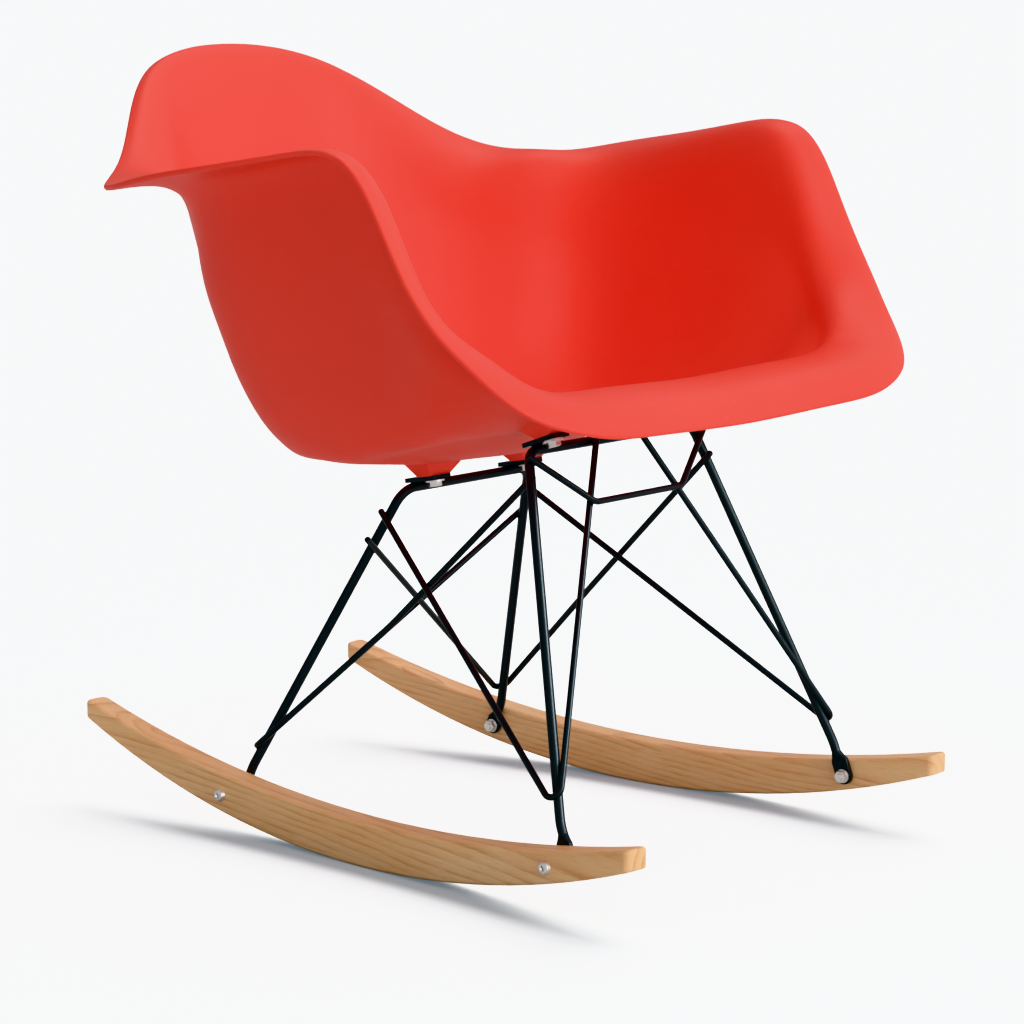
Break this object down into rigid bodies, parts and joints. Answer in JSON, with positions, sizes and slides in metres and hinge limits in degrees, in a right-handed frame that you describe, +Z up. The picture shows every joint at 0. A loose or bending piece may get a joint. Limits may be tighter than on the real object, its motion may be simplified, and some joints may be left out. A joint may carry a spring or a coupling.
{
  "type": "rocking armchair",
  "caption": "Rocking armchair with a moulded plastic bucket seat and integral arms on a bent steel rod frame with crossed braces and curved wooden rockers.",
  "frame": {"origin": "on the floor, in the middle of the floor rectangle that the whole chair covers", "axes": "+Z up, -Y to the front of the chair, +X to the sitter's left"},
  "size_m": [0.6382, 0.6766, 0.6832],
  "materials": {
    "shell": "satin, through-coloured orange red",
    "powder_coat": "satin black powder coat",
    "rocker_wood": "clear matt lacquer on a light brown hardwood",
    "zinc": "bright zinc plate",
    "insert_brass": "as machined"
  },
  "bodies": {
    "root": {"seat_shell": "shell", "front_frame_rod": "powder_coat", "rear_frame_rod": "powder_coat", "front_left_brace": "powder_coat", "front_right_brace": "powder_coat", "rear_left_brace": "powder_coat", "rear_right_brace": "powder_coat", "front_cross_rod": "powder_coat", "left_rocker": "rocker_wood", "right_rocker": "rocker_wood", "mounting_plate_front_left": "powder_coat", "threaded_insert_front_left": "insert_brass", "seat_bolt_front_left": "zinc", "seat_washer_front_left": "zinc", "rocker_screw_front_left": "zinc", "rocker_washer_front_left": "zinc", "rocker_nut_front_left": "zinc", "mounting_plate_front_right": "powder_coat", "threaded_insert_front_right": "insert_brass", "seat_bolt_front_right": "zinc", "seat_washer_front_right": "zinc", "rocker_screw_front_right": "zinc", "rocker_washer_front_right": "zinc", "rocker_nut_front_right": "zinc", "mounting_plate_rear_left": "powder_coat", "threaded_insert_rear_left": "insert_brass", "seat_bolt_rear_left": "zinc", "seat_washer_rear_left": "zinc", "rocker_screw_rear_left": "zinc", "rocker_washer_rear_left": "zinc", "rocker_nut_rear_left": "zinc", "mounting_plate_rear_right": "powder_coat", "threaded_insert_rear_right": "insert_brass", "seat_bolt_rear_right": "zinc", "seat_washer_rear_right": "zinc", "rocker_screw_rear_right": "zinc", "rocker_washer_rear_right": "zinc", "rocker_nut_rear_right": "zinc"}
  },
  "joints": []
}
